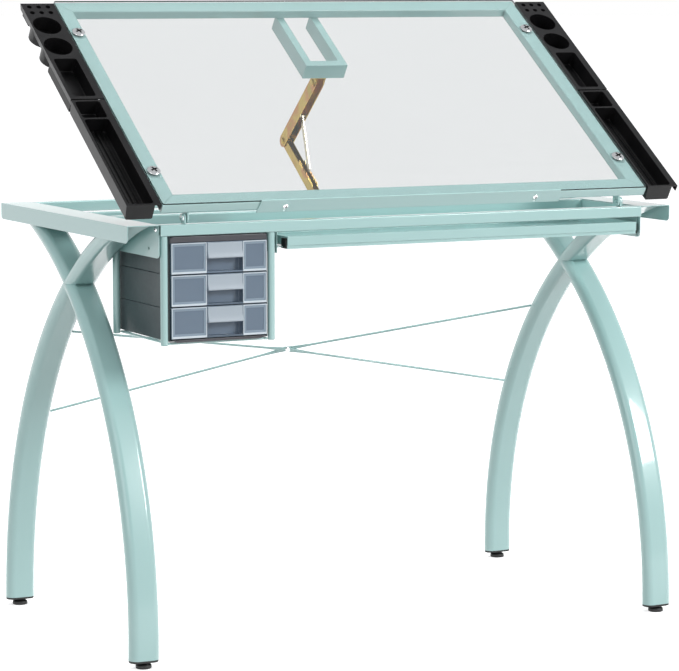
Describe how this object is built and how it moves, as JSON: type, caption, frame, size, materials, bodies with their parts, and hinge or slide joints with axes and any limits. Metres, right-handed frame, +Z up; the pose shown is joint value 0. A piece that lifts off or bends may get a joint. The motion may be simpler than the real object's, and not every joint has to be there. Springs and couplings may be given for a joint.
{
  "type": "drafting table",
  "caption": "Drafting table with a tilting glass top on a painted tube frame, crossed arched legs, a drawer rack, a pull-out tray and lift-off side trays.",
  "frame": {"origin": "on the floor, under the middle of the table's overall box at rest", "axes": "+X to the right of someone sitting at it, +Y to the back, +Z up"},
  "size_m": [1.1046, 0.6296, 1.1418],
  "materials": {
    "mint_paint": "glossy pale mint powder coat",
    "clear_glass": "clear tempered glass, polished edges",
    "tray_plastic": "moulded black plastic",
    "leveler_plastic": "moulded black plastic",
    "cabinet_plastic": "moulded dark grey plastic",
    "drawer_plastic": "translucent frosted plastic",
    "chrome_screw": "polished chrome",
    "zinc_steel": "yellow zinc plated pressed steel",
    "pawl_steel": "bright plated steel"
  },
  "bodies": {
    "base": {"side_channel_left": "mint_paint", "side_plate_left": "mint_paint", "side_channel_right": "mint_paint", "side_plate_right": "mint_paint", "front_rail": "mint_paint", "back_rail": "mint_paint", "cross_rail": "mint_paint", "stay_rail": "mint_paint", "leg_front_left": "mint_paint", "arm_front_left": "mint_paint", "leg_front_right": "mint_paint", "arm_front_right": "mint_paint", "leg_back_left": "mint_paint", "arm_back_left": "mint_paint", "leg_back_right": "mint_paint", "arm_back_right": "mint_paint", "brace_rod_rising": "mint_paint", "brace_rod_falling": "mint_paint", "rack_post_front_left": "mint_paint", "rack_post_front_right": "mint_paint", "rack_post_back_left": "mint_paint", "rack_post_back_right": "mint_paint", "rack_base": "mint_paint", "cabinet_shell_lower": "cabinet_plastic", "cabinet_shell_middle": "cabinet_plastic", "cabinet_shell_upper": "cabinet_plastic", "tray_guide_left": "mint_paint", "tray_guide_right": "mint_paint", "hinge_ear_left": "mint_paint", "hinge_ear_right": "mint_paint", "stay_foot": "zinc_steel"},
    "top": {"top_rail_front": "mint_paint", "top_rail_back": "mint_paint", "top_rail_left": "mint_paint", "top_rail_right": "mint_paint", "glass_panel": "clear_glass", "glass_screw_front_left": "chrome_screw", "glass_screw_back_left": "chrome_screw", "glass_screw_front_right": "chrome_screw", "glass_screw_back_right": "chrome_screw", "stay_bracket": "mint_paint", "stay_head": "zinc_steel", "hinge_lug_left": "mint_paint", "hinge_lug_right": "mint_paint"},
    "pencil_ledge": {"pencil_ledge": "mint_paint"},
    "slide_tray": {"slide_tray": "mint_paint"},
    "drawer_lower": {"drawer_lower": "drawer_plastic"},
    "drawer_middle": {"drawer_middle": "drawer_plastic"},
    "drawer_upper": {"drawer_upper": "drawer_plastic"},
    "tray_lower_left": {"tray_lower_left": "tray_plastic"},
    "tray_lower_right": {"tray_lower_right": "tray_plastic"},
    "tray_upper_left": {"tray_upper_left": "tray_plastic"},
    "tray_upper_right": {"tray_upper_right": "tray_plastic"},
    "leveler_front_left": {"leveler_front_left": "leveler_plastic"},
    "leveler_front_right": {"leveler_front_right": "leveler_plastic"},
    "leveler_back_left": {"leveler_back_left": "leveler_plastic"},
    "leveler_back_right": {"leveler_back_right": "leveler_plastic"},
    "stay_lower_arm": {"stay_lower_arm": "zinc_steel"},
    "stay_upper_arm": {"stay_upper_arm": "zinc_steel"},
    "stay_pawl": {"stay_pawl": "pawl_steel"}
  },
  "joints": [
    {"name": "top_tilt", "type": "hinge", "parent": "base", "child": "top", "pos_m": [0, -0.289, 0.776], "axis": [1, 0, 0], "range_deg": [-34.28, 0]},
    {"name": "ledge_slide", "type": "slide", "parent": "top", "child": "pencil_ledge", "axis": [0, -0.5632, 0.8263], "range_m": [0, 0.0075]},
    {"name": "slide_tray_slide", "type": "slide", "parent": "base", "child": "slide_tray", "axis": [0, -1, 0], "range_m": [0, 0.18]},
    {"name": "stay_lower_turn", "type": "hinge", "parent": "base", "child": "stay_lower_arm", "pos_m": [0.002, 0.058, 0.755], "axis": [1, 0, 0], "range_deg": [-109.2, 0]},
    {"name": "stay_upper_turn", "type": "hinge", "parent": "stay_lower_arm", "child": "stay_upper_arm", "pos_m": [0.002, 0.2155, 0.873], "axis": [1, 0, 0], "range_deg": [0, 53.8]},
    {"name": "stay_pawl_turn", "type": "hinge", "parent": "stay_upper_arm", "child": "stay_pawl", "pos_m": [0.002, 0.14835, 0.92382], "axis": [1, 0, 0], "range_deg": [-82, 0]},
    {"name": "drawer_lower_slide", "type": "slide", "parent": "base", "child": "drawer_lower", "axis": [0, -1, 0], "range_m": [0, 0.17]},
    {"name": "drawer_middle_slide", "type": "slide", "parent": "base", "child": "drawer_middle", "axis": [0, -1, 0], "range_m": [0, 0.17]},
    {"name": "drawer_upper_slide", "type": "slide", "parent": "base", "child": "drawer_upper", "axis": [0, -1, 0], "range_m": [0, 0.17]},
    {"name": "tray_lower_left_lift", "type": "slide", "parent": "top", "child": "tray_lower_left", "axis": [0, -0.5632, 0.8263], "range_m": [0, 0.08]},
    {"name": "tray_lower_right_lift", "type": "slide", "parent": "top", "child": "tray_lower_right", "axis": [0, -0.5632, 0.8263], "range_m": [0, 0.08]},
    {"name": "tray_upper_left_lift", "type": "slide", "parent": "top", "child": "tray_upper_left", "axis": [0, -0.5632, 0.8263], "range_m": [0, 0.08]},
    {"name": "tray_upper_right_lift", "type": "slide", "parent": "top", "child": "tray_upper_right", "axis": [0, -0.5632, 0.8263], "range_m": [0, 0.08]},
    {"name": "leveler_front_left_screw", "type": "slide", "parent": "base", "child": "leveler_front_left", "axis": [0, 0, -1], "range_m": [0, 0.01]},
    {"name": "leveler_front_right_screw", "type": "slide", "parent": "base", "child": "leveler_front_right", "axis": [0, 0, -1], "range_m": [0, 0.01]},
    {"name": "leveler_back_left_screw", "type": "slide", "parent": "base", "child": "leveler_back_left", "axis": [0, 0, -1], "range_m": [0, 0.01]},
    {"name": "leveler_back_right_screw", "type": "slide", "parent": "base", "child": "leveler_back_right", "axis": [0, 0, -1], "range_m": [0, 0.01]}
  ],
  "couplings": [
    {"joint": "stay_lower_turn", "follows": "top_tilt", "ratio": 3.1827},
    {"joint": "stay_upper_turn", "follows": "top_tilt", "ratio": -1.5652},
    {"joint": "stay_pawl_turn", "follows": "top_tilt", "ratio": 2.3895}
  ]
}
